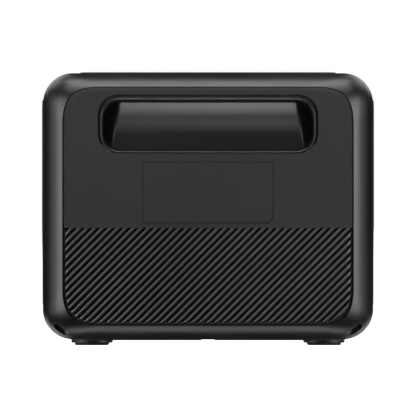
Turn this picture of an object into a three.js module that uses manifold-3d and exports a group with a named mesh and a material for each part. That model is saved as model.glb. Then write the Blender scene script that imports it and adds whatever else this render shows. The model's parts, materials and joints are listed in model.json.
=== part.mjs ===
// A portable power station with two recessed carrying grips, a control side and a ribbed rear side.
// Millimetres, +Z up, origin on the floor under the middle of the feet.
// The ribbed rear side faces -Y and the control side faces +Y.
import * as THREE from "three";
import { mergeVertices } from "three/addons/utils/BufferGeometryUtils.js";
import Module from "manifold-3d";

const wasm = await Module();
wasm.setup();

// ---------------------------------------------------------------- driving dimensions
const WIDTH = 314; // over the side panels
const DEPTH = 210; // over the rolled edges
const HEIGHT = 258.2; // floor to top cover
const FOOT_HEIGHT = 4.7;
const PROUD = 1; // how far the covers and side panels stand out of the housing
const GAP = 0.3; // clearance between pieces that meet
const WALL = 4; // thickness of the housing
const CORNER_STEPS = 3; // a large rounded corner has twice this many facets
const SMALL_STEPS = 1; // and a small one has twice this many
const ROUND_STEPS = 16; // facets round a cylinder
const FINE_STEPS = 24; // facets round a large cylinder

// Housing
const BODY_WIDTH = WIDTH - 2 * PROUD;
const BODY_LOW = FOOT_HEIGHT + PROUD;
const BODY_HEIGHT = HEIGHT - PROUD - BODY_LOW;
const BODY_MID = BODY_LOW + BODY_HEIGHT / 2;
const BODY_RADIUS = 28.5;
const ROLL_DEPTH = 32; // how deep the rolled edge is, front to back
const ROLL_STEPS = 4;
const ROLL_END = THREE.MathUtils.degToRad(35); // the roll stops before it faces straight out
const RIM = 0.9; // flat rim between the roll and the panel opening
const LEDGE = 3.5; // width of the ledge that a face panel sits on

// Face panels (the rear panel and the control panel share one outline)
const PANEL_WIDTH = 274.6;
const PANEL_HEIGHT = 225.3;
const PANEL_RADIUS = 30;
const PANEL_FACE = DEPTH / 2 - 1;
const PANEL_THICK = 4;
const LEDGE_THICK = 3;
const PANEL_BACK = PANEL_FACE - PANEL_THICK;
const LEDGE_BACK = PANEL_BACK - GAP - LEDGE_THICK;

// Ribs and slots, both at 45 degrees
const RIB_TOP = 111.2; // height where the ribs stop
const RIB_PITCH = 7.26; // measured along the horizontal
const RIB_GROOVE = 2.6; // width of a groove at the surface
const RIB_DEPTH = 1.5;
const RIB_MARGIN = 3; // plain border round the ribs

// Top cover, base plate and side panels
const COVER_THICK = 3;
const COVER_DEPTH = 140;
const COVER_RADIUS = 20;
const TOP_WIDTH = 242;
const BASE_WIDTH = 260;
const SIDE_HEIGHT = 197;
const SIDE_MID = 133.5;
const SLOT_LOW = 42; // the air slots reach from here up to the top of the ribs
const SLOT_SPAN = 116;
const BASE_GROOVE = { width: 13, depth: 0.7 };

// Carrying grip: depths are measured inwards from the face panel
const GRIP_MID = 208.95;
const GRIP_WIDTH = 208;
const GRIP_HEIGHT = 55.3;
const GRIP_RADIUS = 20;
const MOUTH_WIDTH = 197.6;
const MOUTH_LOW = 183.2;
const MOUTH_HIGH = 230;
const MOUTH_RADIUS = 16;
const GRIP_WALL = 3;
const RAMP_DEPTH = 8; // depth of the upright part of the ramp
const RAMP_BEND = 200; // height where the ramp starts to curve back
const RAMP_RADIUS = 40;
const RAMP_TURN = THREE.MathUtils.degToRad(58);
const LIP_DEPTH = 10;
const FINGER_TOP = 240;
const FINGER_DEPTH = 30;
const LIP_PROUD = 0.6;

// Blank rating label
const LABEL_WIDTH = 122.4;
const LABEL_HEIGHT = 57;
const LABEL_MID = 144.4;
const LABEL_CHAMFER = 4.7;
const LABEL_THICK = 0.5;

// Feet
const FOOT_X = 110;
const FOOT_Y = 48;
const FOOT_RIM_RADIUS = 19.4;
const FOOT_PAD_RADIUS = 15.9;
const FOOT_PAD_THICK = 2;
const FOOT_STEM_RADIUS = 6; // the pad's stem, pushed up through the base

// Screw pockets in the bottom corners
const POCKET = new THREE.Vector3(138.3, 90.6, 14.2);
const POCKET_LENGTH = 17.5;
const POCKET_WIDTH = 7;
const POCKET_DEPTH = 4.5;
const POCKET_TILT = THREE.MathUtils.degToRad(27); // towards the nearer face
const POCKET_BOSS = { radius: 12, low: -13, length: 14 }; // plastic round a pocket
const SCREW = { head: 3, headLength: 2, shank: 1.5, shankLength: 8, drive: 1.3 };

// Control side; x runs to the right of someone who faces it
const DISPLAY = { x: 0, z: 150, width: 92, height: 40, radius: 6 };
const BUTTONS = [
  { name: "dc_button", x: -80, z: 150, radius: 10 },
  { name: "power_button", x: 0, z: 114, radius: 8 },
  { name: "ac_button", x: 80, z: 150, radius: 10 },
  { name: "reset_button", x: 72, z: 46, radius: 5 },
];
const BUTTON_PROUD = 0.7;
const BUTTON_FLANGE = 1.5;
const KEY_PLATE = { x: 0, z: 134, width: 196, height: 60, radius: 4 };
const MAT_THICK = 1.2;
const OUTLET = { width: 40, height: 33, radius: 4, z: 84, depth: 26 };
const OUTLET_X = [50, 97];
const CAR_SOCKET = { x: -104, z: 84, radius: 13.2, bore: 10.5, depth: 35 };
const SOCKET_CAP = { radius: 17.5, tab: 12, plug: 8.5, plugDepth: 2.4 };
const USB_A = { x: -68, width: 14.4, height: 7, radius: 1 };
const USB_C = { x: -38, width: 10.4, height: 4.6, radius: 2.2 };
const USB_Z = [93, 75];
const INPUT = { x: 0, z: 44, width: 92, height: 34, radius: 5 };
const AC_INLET = { x: -20, z: 42.5, width: 31, height: 23 };
const DC_INLET = { x: 26, z: 42.5, radius: 7, bore: 4 };
const COVER_RECESS = 2.5; // depth of the recess that a rubber cover lies in
const COVER_RUBBER = 2.2;
const LENS_THICK = 2;
const LENS_MARGIN = 4; // ledge that the lens sits on

// Battery and electronics
const CELL = { count: 8, width: 26.8, depth: 148, height: 94, pitch: 27.2 };
const BATTERY_Y = -15.5;
const TRAY_LOW = 14.5;
const TRAY_WALL = 2;
const CELL_LOW = TRAY_LOW + TRAY_WALL + GAP;
const BOARD_THICK = 1.6;
const TERMINAL = { radius: 6, height: 2.5, inset: 22 };
const BMS = { width: 200, depth: 138, above: 4, chips: 5, chipPitch: 24 };
const INVERTER = { width: 220, depth: 120, low: 126 };
const CAPACITOR = { count: 4, radius: 9, height: 32, x: -95, y: 44, pitch: 22 };
const HEAT_SINK = { width: 90, depth: 50, base: 5, fins: 8, finHeight: 25, thick: 2, x: 55, y: -28 };
const COIL = { radius: 19, length: 28, x: -50, y: -20 };
const FAN = { size: 80, thick: 25, bore: 38, hub: 15, blades: 7, x: 135.5, z: 74 };
const FAN_SPOKES = { count: 3, width: 5, thick: 2.5 };
const FAN_BLADE = { thick: 1.6, chord: 18, pitch: THREE.MathUtils.degToRad(40) };
const FAN_AXLE = 2;

// ---------------------------------------------------------------- materials
const finish = (color, roughness, metalness = 0) =>
  new THREE.MeshStandardMaterial({ color, roughness, metalness });

const MATERIALS = {
  gloss_black: finish(0x1c1c1d, 0.28),
  panel_black: finish(0x2c2c2d, 0.55),
  grip_black: finish(0x242425, 0.4),
  dark_plastic: finish(0x161617, 0.5),
  rubber: finish(0x101010, 0.85),
  smoked_lens: finish(0x050506, 0.08),
  button_grey: finish(0x3a3a3c, 0.4),
  steel: finish(0xa8a8ac, 0.35, 1),
  aluminium: finish(0xb4b6b8, 0.45, 0.9),
  cell_blue: finish(0x2b4f7e, 0.5),
  board_green: finish(0x1f5a35, 0.6),
  copper: finish(0xb06a3c, 0.4, 1),
};

// ---------------------------------------------------------------- solids and booleans
function solid(geometry) {
  geometry.deleteAttribute("normal");
  geometry.deleteAttribute("uv");
  const merged = mergeVertices(geometry, 1e-4);
  const mesh = new wasm.Mesh({
    numProp: 3,
    vertProperties: merged.attributes.position.array,
    triVerts: new Uint32Array(merged.index.array),
  });
  return new wasm.Manifold(mesh);
}

function geometryOf(made) {
  const mesh = made.getMesh();
  const geometry = new THREE.BufferGeometry();
  geometry.setAttribute("position", new THREE.BufferAttribute(mesh.vertProperties, 3));
  geometry.setIndex(new THREE.BufferAttribute(mesh.triVerts, 1));
  geometry.computeVertexNormals();
  return geometry;
}

const join = (first, ...more) => more.reduce((sum, next) => sum.add(next), first);
const cut = (first, ...tools) => tools.reduce((rest, tool) => rest.subtract(tool), first);

function place(group, name, made, material) {
  const mesh = new THREE.Mesh(geometryOf(made), MATERIALS[material].clone());
  mesh.name = name;
  group.add(mesh);
  return mesh;
}

// ---------------------------------------------------------------- outlines and slabs
function roundedRect(width, height, radius, x = 0, y = 0) {
  const right = width / 2 - radius;
  const top = height / 2 - radius;
  const quarter = Math.PI / 2;
  const shape = new THREE.Shape();
  shape.absarc(x + right, y + top, radius, 0, quarter);
  shape.absarc(x - right, y + top, radius, quarter, 2 * quarter);
  shape.absarc(x - right, y - top, radius, 2 * quarter, 3 * quarter);
  shape.absarc(x + right, y - top, radius, 3 * quarter, 4 * quarter);
  return shape;
}

// The same outline grown by a clearance on every side.
const grown = (box, extra) =>
  roundedRect(box.width + 2 * extra, box.height + 2 * extra, box.radius + extra, box.x, box.z);

function extruded(shape, low, high, segments = CORNER_STEPS) {
  const depth = high - low;
  const options = { depth, bevelEnabled: false, curveSegments: segments };
  return new THREE.ExtrudeGeometry(shape, options);
}

// An outline drawn in Y and Z, extruded along X.
function slabX(shape, low, high) {
  const turn = new THREE.Matrix4().makeBasis(
    new THREE.Vector3(0, 1, 0),
    new THREE.Vector3(0, 0, 1),
    new THREE.Vector3(1, 0, 0),
  );
  return solid(extruded(shape, low, high).applyMatrix4(turn).translate(low, 0, 0));
}

// An outline drawn in X and Z, extruded along Y.
const slabY = (shape, low, high, segments = CORNER_STEPS) =>
  solid(extruded(shape, low, high, segments).rotateX(Math.PI / 2).translate(0, high, 0));

// The same for a small feature, with fewer facets in its corners.
const smallSlab = (shape, low, high) => slabY(shape, low, high, SMALL_STEPS);

// An outline drawn in X and Y, extruded along Z.
const slabZ = (shape, low, high) => solid(extruded(shape, low, high).translate(0, 0, low));

function block(width, depth, height, x, y, z) {
  return solid(new THREE.BoxGeometry(width, depth, height).translate(x, y, z));
}

// A cylinder along Y, between two depths.
function rodY(radius, low, high, x, z, steps = ROUND_STEPS) {
  const rod = new THREE.CylinderGeometry(radius, radius, high - low, steps);
  return solid(rod.translate(x, (low + high) / 2, z));
}

// A cylinder along Z, between two heights.
function rodZ(radius, low, high, x, y, steps = ROUND_STEPS) {
  const rod = new THREE.CylinderGeometry(radius, radius, high - low, steps);
  return solid(rod.rotateX(Math.PI / 2).translate(x, y, (low + high) / 2));
}

// ---------------------------------------------------------------- housing
// A closed solid through rounded rectangles that stand across Y, from the lowest Y to the highest.
function loft(rings) {
  const points = [];
  const faces = [];
  for (const ring of rings) {
    const outline = roundedRect(ring.width, ring.height, ring.radius, 0, BODY_MID);
    for (const p of outline.getPoints(CORNER_STEPS)) points.push(p.x, ring.y, p.y);
  }
  const count = points.length / 3 / rings.length;
  for (let k = 0; k + 1 < rings.length; k += 1) {
    for (let i = 0; i < count; i += 1) {
      const next = (i + 1) % count;
      const a = k * count + i;
      const b = k * count + next;
      const c = (k + 1) * count + i;
      const d = (k + 1) * count + next;
      faces.push(a, d, b, a, c, d);
    }
  }
  const first = points.length / 3;
  const last = first + 1;
  const lastRing = (rings.length - 1) * count;
  points.push(0, rings[0].y, BODY_MID, 0, rings[rings.length - 1].y, BODY_MID);
  for (let i = 0; i < count; i += 1) {
    const next = (i + 1) % count;
    faces.push(first, i, next, last, lastRing + next, lastRing + i);
  }
  const geometry = new THREE.BufferGeometry();
  geometry.setAttribute("position", new THREE.Float32BufferAttribute(points, 3));
  geometry.setIndex(faces);
  return solid(geometry);
}

// One section of the housing where its skin leans at an angle from straight out, moved in by an inset.
function housingRing(angle, inset) {
  const share = (1 - Math.sin(angle)) / (1 - Math.sin(ROLL_END));
  const reach = Math.cos(angle) / Math.cos(ROLL_END);
  const inwards = inset * Math.sin(angle);
  const rollSide = (BODY_WIDTH - PANEL_WIDTH) / 2 - GAP - RIM;
  const rollTop = (BODY_HEIGHT - PANEL_HEIGHT) / 2 - GAP - RIM;
  return {
    y: ROLL_DEPTH * (1 - reach) - DEPTH / 2 + inset * Math.cos(angle),
    width: BODY_WIDTH - 2 * (rollSide * share + inwards),
    height: BODY_HEIGHT - 2 * (rollTop * share + inwards),
    radius: BODY_RADIUS + share * (PANEL_RADIUS - BODY_RADIUS) - inwards,
  };
}

function housingSolid(inset) {
  const rings = [];
  for (let step = 0; step <= ROLL_STEPS; step += 1) {
    const angle = ROLL_END + (step / ROLL_STEPS) * (Math.PI / 2 - ROLL_END);
    rings.push(housingRing(angle, inset));
  }
  const seam = inset > 0 ? WALL : -GAP / 2;
  rings.push({ ...housingRing(Math.PI / 2, inset), y: seam });
  return loft(rings);
}

// A tool whose own Z axis points out of a bottom corner, at the corner's screw pocket.
function atPocket(geometry, side) {
  const diagonal = new THREE.Vector3(side, 0, -1).normalize();
  const along = new THREE.Vector3(1, 0, side).normalize();
  const out = diagonal.multiplyScalar(Math.cos(POCKET_TILT));
  out.y = -Math.sin(POCKET_TILT);
  const across = new THREE.Vector3().crossVectors(out, along);
  const turn = new THREE.Matrix4().makeBasis(along, across, out);
  turn.setPosition(side * POCKET.x, -POCKET.y, POCKET.z);
  return solid(geometry.applyMatrix4(turn));
}

// A cylinder along its own Z axis, with its low end at a height above the pocket's middle.
function pin(radius, low, length, steps) {
  const rod = new THREE.CylinderGeometry(radius, radius, length, steps);
  return rod.rotateX(Math.PI / 2).translate(0, 0, low + length / 2);
}

// The pocket and the hole for its screw.
function pocketTool(side) {
  const outline = roundedRect(POCKET_LENGTH, POCKET_WIDTH, POCKET_WIDTH / 2.01);
  const pocket = extruded(outline, -POCKET_DEPTH, 12, SMALL_STEPS).translate(0, 0, -POCKET_DEPTH);
  const hole = pin(SCREW.shank + 0.4, -20, 20, 8);
  return join(atPocket(pocket, side), atPocket(hole, side));
}

function pocketBoss(side) {
  return atPocket(pin(POCKET_BOSS.radius, POCKET_BOSS.low, POCKET_BOSS.length, 12), side);
}

function cornerScrew(side) {
  const seat = GAP - POCKET_DEPTH;
  const top = seat + SCREW.headLength;
  const head = pin(SCREW.head, seat, SCREW.headLength, 10);
  const shank = pin(SCREW.shank, seat + 1 - SCREW.shankLength, SCREW.shankLength, 8);
  const drive = pin(SCREW.drive, top - 0.8, 2, 6);
  return cut(join(atPocket(head, side), atPocket(shank, side)), atPocket(drive, side));
}

function coverRecesses() {
  const depth = COVER_DEPTH + 2 * GAP;
  const radius = COVER_RADIUS + GAP;
  const floor = COVER_THICK - PROUD + GAP;
  const flat = (width) => roundedRect(width + 2 * GAP, depth, radius);
  const upright = roundedRect(depth, SIDE_HEIGHT + 2 * GAP, radius, 0, SIDE_MID);
  const side = BODY_WIDTH / 2 - floor;
  const top = HEIGHT - PROUD - floor;
  const low = BODY_LOW + floor;
  return join(
    slabZ(flat(TOP_WIDTH), top, top + 10),
    slabZ(flat(BASE_WIDTH), low - 10, low),
    slabX(upright, side, side + 10),
    slabX(upright, -side - 10, -side),
  );
}

// Half of the housing, made as the rear half. The front half is the same shape, turned round.
function housingHalf() {
  const outer = housingSolid(0);
  const opening = roundedRect(
    PANEL_WIDTH + 2 * GAP, PANEL_HEIGHT + 2 * GAP, PANEL_RADIUS + GAP, 0, BODY_MID,
  );
  const ledge = roundedRect(
    PANEL_WIDTH - 2 * LEDGE, PANEL_HEIGHT - 2 * LEDGE, PANEL_RADIUS - LEDGE, 0, BODY_MID,
  );
  const front = block(WIDTH, 20, HEIGHT, 0, -LEDGE_BACK - 10, BODY_MID);
  const inner = cut(housingSolid(WALL), front);
  const windows = roundedRect(100, FAN.size - 4, 8, 0, FAN.z);
  return cut(
    outer,
    cut(inner, pocketBoss(-1), pocketBoss(1)),
    slabY(opening, -DEPTH, -PANEL_BACK + GAP),
    slabY(ledge, -DEPTH, -LEDGE_BACK + 1),
    coverRecesses(),
    slabX(windows, -WIDTH, WIDTH),
    pocketTool(-1),
    pocketTool(1),
  );
}

// ---------------------------------------------------------------- covers
// Slanted bars, each rising to the right at 45 degrees, standing across Y between two depths.
function slantedBars(span, low, high, width, yOut, yIn, tip) {
  const middle = (low + high) / 2;
  const run = span / 2 + (high - low) / 2;
  const count = Math.floor(run / RIB_PITCH);
  const length = (high - low) * 2;
  const half = width / 2;
  const section = new THREE.Shape();
  section.moveTo(-half, 0).lineTo(half, 0).lineTo(tip, yIn - yOut).lineTo(-tip, yIn - yOut);
  const bars = [];
  for (let i = -count; i <= count; i += 1) {
    const bar = extruded(section, 0, length).translate(0, 0, -length / 2);
    bar.rotateY(Math.PI / 4).translate(i * RIB_PITCH, yOut, middle);
    bars.push(solid(bar));
  }
  return join(...bars);
}

function rearPanel() {
  const outline = roundedRect(PANEL_WIDTH, PANEL_HEIGHT, PANEL_RADIUS, 0, BODY_MID);
  const inside = roundedRect(
    PANEL_WIDTH - 2 * RIB_MARGIN, PANEL_HEIGHT - 2 * RIB_MARGIN, PANEL_RADIUS - RIB_MARGIN, 0, BODY_MID,
  );
  const low = BODY_MID - PANEL_HEIGHT / 2;
  const plain = block(WIDTH, 20, HEIGHT, 0, -PANEL_FACE, RIB_TOP + HEIGHT / 2);
  const field = cut(slabY(inside, -DEPTH, -PANEL_BACK), plain);
  const surface = -PANEL_FACE - 0.01;
  const grooves = slantedBars(
    PANEL_WIDTH, low, RIB_TOP, RIB_GROOVE, surface, -PANEL_FACE + RIB_DEPTH, RIB_GROOVE / 6,
  ).intersect(field);
  return cut(
    slabY(outline, -PANEL_FACE, -PANEL_BACK),
    gripHole(),
    slabY(labelOutline(GAP), -DEPTH, -PANEL_FACE + LABEL_THICK + GAP),
    grooves,
  );
}

function labelOutline(extra) {
  const right = LABEL_WIDTH / 2 + extra;
  const low = LABEL_MID - LABEL_HEIGHT / 2 - extra;
  const high = LABEL_MID + LABEL_HEIGHT / 2 + extra;
  const shape = new THREE.Shape();
  shape.moveTo(-right, low).lineTo(right - LABEL_CHAMFER, low).lineTo(right, low + LABEL_CHAMFER);
  shape.lineTo(right, high).lineTo(-right, high);
  return shape;
}

const ratingLabel = () => slabY(labelOutline(0), -PANEL_FACE, -PANEL_FACE + LABEL_THICK);

const flatCover = (width, high) =>
  slabZ(roundedRect(width, COVER_DEPTH, COVER_RADIUS), high - COVER_THICK, high);

// The base plate has a shallow groove along its middle.
function basePlate() {
  const groove = block(BASE_GROOVE.width, DEPTH, 2 * BASE_GROOVE.depth, 0, 0, FOOT_HEIGHT);
  return cut(flatCover(BASE_WIDTH, FOOT_HEIGHT + COVER_THICK), groove);
}

// A side panel with slanted air slots in its lower band, made as the right-hand one.
function ventPanel(side) {
  const outline = roundedRect(COVER_DEPTH, SIDE_HEIGHT, COVER_RADIUS, 0, SIDE_MID);
  const high = WIDTH / 2;
  const field = roundedRect(SLOT_SPAN, RIB_TOP - SLOT_LOW, 4, 0, (RIB_TOP + SLOT_LOW) / 2);
  const window = slabX(field, 0, WIDTH);
  const out = -high - 1;
  const back = 2 - high + COVER_THICK;
  const bars = slantedBars(SLOT_SPAN + 14, SLOT_LOW, RIB_TOP, RIB_GROOVE, out, back, 1);
  const slots = bars.rotate([0, 0, 90]).intersect(window);
  const panel = cut(slabX(outline, high - COVER_THICK, high), slots);
  return side > 0 ? panel : panel.rotate([0, 0, 180]);
}

// ---------------------------------------------------------------- carrying grip
const gripOutline = (extra) =>
  roundedRect(GRIP_WIDTH + 2 * extra, GRIP_HEIGHT + 2 * extra, GRIP_RADIUS + extra, 0, GRIP_MID);

const gripHole = () => slabY(gripOutline(GAP), -DEPTH, 0);

// The side view of the finger space, grown by a wall: upright, then curving back, then up behind the lip.
function gripProfile(wall, start) {
  const depth = (d) => d - PANEL_FACE;
  const centre = RAMP_DEPTH + RAMP_RADIUS;
  const radius = RAMP_RADIUS - wall;
  const back = FINGER_DEPTH + wall;
  const shape = new THREE.Shape();
  shape.moveTo(depth(start), MOUTH_LOW - wall);
  shape.lineTo(depth(RAMP_DEPTH + wall), MOUTH_LOW - wall);
  shape.absarc(depth(centre), RAMP_BEND, radius, Math.PI, Math.PI - RAMP_TURN, true);
  shape.lineTo(depth(back), FINGER_TOP - 3).lineTo(depth(back), FINGER_TOP + wall);
  return shape;
}

function gripCup() {
  const depth = (d) => d - PANEL_FACE;
  const bowlStart = PANEL_FACE - LEDGE_BACK + GAP;
  const outer = gripProfile(GRIP_WALL, bowlStart);
  outer.lineTo(depth(bowlStart), FINGER_TOP + GRIP_WALL);
  const inner = gripProfile(0, RAMP_DEPTH - 1);
  inner.lineTo(depth(LIP_DEPTH), FINGER_TOP).lineTo(depth(LIP_DEPTH), MOUTH_HIGH);
  inner.lineTo(depth(RAMP_DEPTH - 1), MOUTH_HIGH);
  const mouthHeight = MOUTH_HIGH - MOUTH_LOW;
  const mouthMid = (MOUTH_HIGH + MOUTH_LOW) / 2;
  const mouth = roundedRect(MOUTH_WIDTH, mouthHeight, MOUTH_RADIUS, 0, mouthMid);
  const neckLow = MOUTH_LOW - GRIP_WALL;
  const neckHigh = FINGER_TOP;
  const neck = roundedRect(
    MOUTH_WIDTH + 2 * GRIP_WALL, neckHigh - neckLow, MOUTH_RADIUS, 0, (neckHigh + neckLow) / 2,
  );
  const half = MOUTH_WIDTH / 2;
  const neckFace = -PANEL_BACK + GAP;
  return cut(
    join(
      slabY(gripOutline(0), -PANEL_FACE - LIP_PROUD, neckFace + 0.5),
      slabY(neck, neckFace, depth(LIP_DEPTH + 2)),
      slabX(outer, -half - GRIP_WALL, half + GRIP_WALL),
    ),
    slabY(mouth, -DEPTH, depth(RAMP_DEPTH)),
    slabX(inner, -half, half),
  );
}

// ---------------------------------------------------------------- feet
function footBase(x, y) {
  const rim = rodZ(FOOT_RIM_RADIUS, FOOT_PAD_THICK + GAP, FOOT_HEIGHT - GAP, x, y, FINE_STEPS);
  return cut(rim, rodZ(FOOT_STEM_RADIUS, 0, FOOT_HEIGHT, x, y, 12));
}

// The pad steps in at the floor, and its stem holds it in the base.
const footPad = (x, y) =>
  join(
    rodZ(FOOT_PAD_RADIUS - 0.8, 0, 1, x, y, FINE_STEPS),
    rodZ(FOOT_PAD_RADIUS, 0.6, FOOT_PAD_THICK, x, y, FINE_STEPS),
    rodZ(FOOT_STEM_RADIUS - GAP, 1, FOOT_HEIGHT - GAP, x, y, 12),
  );

// ---------------------------------------------------------------- control side, made facing -Y
function controlPanel() {
  const outline = roundedRect(PANEL_WIDTH, PANEL_HEIGHT, PANEL_RADIUS, 0, BODY_MID);
  const lensFloor = -PANEL_FACE + LENS_THICK + GAP;
  const coverFloor = -PANEL_FACE + COVER_RECESS;
  const holes = [
    gripHole(),
    smallSlab(grown(DISPLAY, GAP), -DEPTH, lensFloor),
    smallSlab(grown(DISPLAY, -LENS_MARGIN), -DEPTH, 0),
    smallSlab(grown(INPUT, GAP), -DEPTH, coverFloor),
    smallSlab(grown({ ...AC_INLET, radius: 3 }, GAP), -DEPTH, 0),
    rodY(DC_INLET.radius + GAP, -DEPTH, 0, DC_INLET.x, DC_INLET.z),
    capSolid(GAP, -DEPTH, coverFloor),
    rodY(CAR_SOCKET.radius + GAP, -DEPTH, 0, CAR_SOCKET.x, CAR_SOCKET.z),
  ];
  for (const b of BUTTONS) holes.push(rodY(b.radius + GAP, -DEPTH, 0, b.x, b.z));
  for (const x of OUTLET_X) holes.push(smallSlab(grown({ ...OUTLET, x }, GAP), -DEPTH, 0));
  for (const port of [USB_A, USB_C])
    for (const z of USB_Z) holes.push(smallSlab(grown({ ...port, z }, GAP), -DEPTH, 0));
  return cut(slabY(outline, -PANEL_FACE, -PANEL_BACK), ...holes);
}

function button({ x, z, radius }) {
  const back = -PANEL_BACK + GAP + BUTTON_FLANGE;
  return join(
    rodY(radius, -PANEL_FACE - BUTTON_PROUD, back, x, z),
    rodY(radius + BUTTON_FLANGE, -PANEL_BACK + GAP, back, x, z),
  );
}

function outlet(x) {
  const { z, depth } = OUTLET;
  const deep = -PANEL_FACE + 18;
  const blade = (side) =>
    smallSlab(roundedRect(2.4, side < 0 ? 9 : 7.5, 0.5, x + side * 6.35, z + 3), -DEPTH, deep);
  const face = { ...OUTLET, x };
  return cut(
    smallSlab(grown(face, 0), -PANEL_FACE, -PANEL_FACE + depth),
    smallSlab(grown(face, -4), -DEPTH, -PANEL_FACE + 1.2),
    blade(-1),
    blade(1),
    rodY(2.6, -DEPTH, deep, x, z - 7.5, 12),
  );
}

function usbPort(port, z, mouth, tongue) {
  const { x } = port;
  const face = -PANEL_FACE + 0.2;
  const back = face + 15;
  return join(
    cut(
      smallSlab(grown({ ...port, z }, 0), face, back),
      smallSlab(roundedRect(mouth.width, mouth.height, mouth.radius, x, z), -DEPTH, back - 2),
    ),
    smallSlab(roundedRect(tongue.width, tongue.height, 0.2, x, z + tongue.lift), face + 1.5, back - 1),
  );
}

function carSocket() {
  const { x, z, radius, bore, depth } = CAR_SOCKET;
  const face = -PANEL_FACE + COVER_RECESS + 0.1;
  const back = face + depth;
  return join(
    cut(rodY(radius, face, back, x, z, FINE_STEPS), rodY(bore, -DEPTH, back - 2.5, x, z, FINE_STEPS)),
    rodY(3.5, back - 4.5, back - 1, x, z, 12),
  );
}

// The round rubber cap with the tab that its hinge line crosses.
function capSolid(extra, low, high) {
  const { x, z } = CAR_SOCKET;
  const { radius, tab } = SOCKET_CAP;
  const strap = roundedRect(tab + 2 * extra, 10 + 2 * extra, 1 + extra, x, z + radius - 3);
  return join(rodY(radius + extra, low, high, x, z, FINE_STEPS), smallSlab(strap, low, high));
}

function socketCap() {
  const inside = -PANEL_FACE + COVER_RUBBER;
  const { x, z } = CAR_SOCKET;
  return join(
    capSolid(0, -PANEL_FACE, inside),
    rodY(SOCKET_CAP.plug, inside - 0.5, inside + SOCKET_CAP.plugDepth, x, z),
  );
}

function acInlet() {
  const { x, z, width, height } = AC_INLET;
  const face = -PANEL_FACE + COVER_RECESS + 0.1;
  const back = face + 22;
  const pin = (dx, dz) => smallSlab(roundedRect(2, 4, 0.3, x + dx, z + dz), face + 5, back - 1);
  return join(
    cut(
      smallSlab(roundedRect(width, height, 3, x, z), face, back),
      smallSlab(roundedRect(24.6, 16.8, 2.5, x, z), -DEPTH, back - 4),
    ),
    pin(-7, -2),
    pin(7, -2),
    pin(0, 2),
  );
}

function dcInlet() {
  const { x, z, radius, bore } = DC_INLET;
  const face = -PANEL_FACE + COVER_RECESS + 0.1;
  return join(
    cut(rodY(radius, face, face + 16, x, z), rodY(bore, -DEPTH, face + 13, x, z)),
    rodY(1, face + 1, face + 14, x, z, 10),
  );
}

const LENS_BACK = -PANEL_FACE + LENS_THICK;
const displayLens = () => smallSlab(grown(DISPLAY, 0), -PANEL_FACE, LENS_BACK);
const displayModule = () =>
  smallSlab(grown(DISPLAY, -LENS_MARGIN - 0.5), LENS_BACK + GAP, -PANEL_FACE + 7);
const keyPlate = (low, high) => smallSlab(grown(KEY_PLATE, 0), low, high);

function buildControls(group) {
  const back = -PANEL_BACK + GAP + BUTTON_FLANGE;
  const matFace = back + 2;
  place(group, "front_frame", housingHalf(), "gloss_black");
  place(group, "front_panel", controlPanel(), "panel_black");
  place(group, "front_grip_cup", gripCup(), "grip_black");
  place(group, "display_lens", displayLens(), "smoked_lens");
  place(group, "display_module", displayModule(), "dark_plastic");
  const boardFace = matFace + MAT_THICK + GAP;
  place(group, "key_mat", keyPlate(matFace, matFace + MAT_THICK), "rubber");
  place(group, "key_board", keyPlate(boardFace, boardFace + BOARD_THICK), "board_green");
  for (const b of BUTTONS) place(group, b.name, button(b), "button_grey");
  OUTLET_X.forEach((x, i) => place(group, `ac_outlet_${i + 1}`, outlet(x), "dark_plastic"));
  USB_Z.forEach((z, i) => {
    const mouthA = { width: 12.5, height: 5.1, radius: 0.4 };
    const mouthC = { width: 8.9, height: 3.2, radius: 1.5 };
    const tongueA = { width: 11, height: 1.9, lift: 1.2 };
    const tongueC = { width: 6.6, height: 0.7, lift: 0 };
    place(group, `usb_a_port_${i + 1}`, usbPort(USB_A, z, mouthA, tongueA), "steel");
    place(group, `usb_c_port_${i + 1}`, usbPort(USB_C, z, mouthC, tongueC), "steel");
  });
  place(group, "car_socket", carSocket(), "steel");
  place(group, "car_socket_cap", socketCap(), "rubber");
  place(group, "ac_inlet", acInlet(), "dark_plastic");
  place(group, "dc_inlet", dcInlet(), "dark_plastic");
  const flap = smallSlab(grown(INPUT, 0), -PANEL_FACE, -PANEL_FACE + COVER_RUBBER);
  place(group, "input_cover", flap, "rubber");
}

// ---------------------------------------------------------------- battery
function batteryTray() {
  const width = CELL.count * CELL.pitch + 2 * TRAY_WALL;
  const depth = CELL.depth + 2 * (TRAY_WALL + 1);
  const height = 60;
  const inner = block(
    width - 2 * TRAY_WALL, depth - 2 * TRAY_WALL, height, 0, BATTERY_Y, TRAY_LOW + TRAY_WALL + height / 2,
  );
  return cut(block(width, depth, height, 0, BATTERY_Y, TRAY_LOW + height / 2), inner);
}

// One prismatic cell with its two terminals.
function cell(x) {
  const high = CELL_LOW + CELL.height;
  const reach = CELL.depth / 2 - TERMINAL.inset;
  const terminal = (y) => rodZ(TERMINAL.radius, high - 1, high + TERMINAL.height, x, y, 12);
  return join(
    block(CELL.width, CELL.depth, CELL.height, x, BATTERY_Y, CELL_LOW + CELL.height / 2),
    terminal(BATTERY_Y - reach),
    terminal(BATTERY_Y + reach),
  );
}

// A flat circuit board, centred on x = 0.
const board = ({ width, depth }, low, y) =>
  block(width, depth, BOARD_THICK, 0, y, low + BOARD_THICK / 2);

function bmsBoard() {
  const low = CELL_LOW + CELL.height + BMS.above;
  const chipMid = low + BOARD_THICK + 1.9;
  const parts = [board(BMS, low, BATTERY_Y)];
  for (let i = 0; i < BMS.chips; i += 1) {
    const x = (i - (BMS.chips - 1) / 2) * BMS.chipPitch;
    parts.push(block(12, 15, 4, x, BATTERY_Y, chipMid));
  }
  return join(...parts);
}

// ---------------------------------------------------------------- power electronics
const ON_INVERTER = INVERTER.low + BOARD_THICK;

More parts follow.
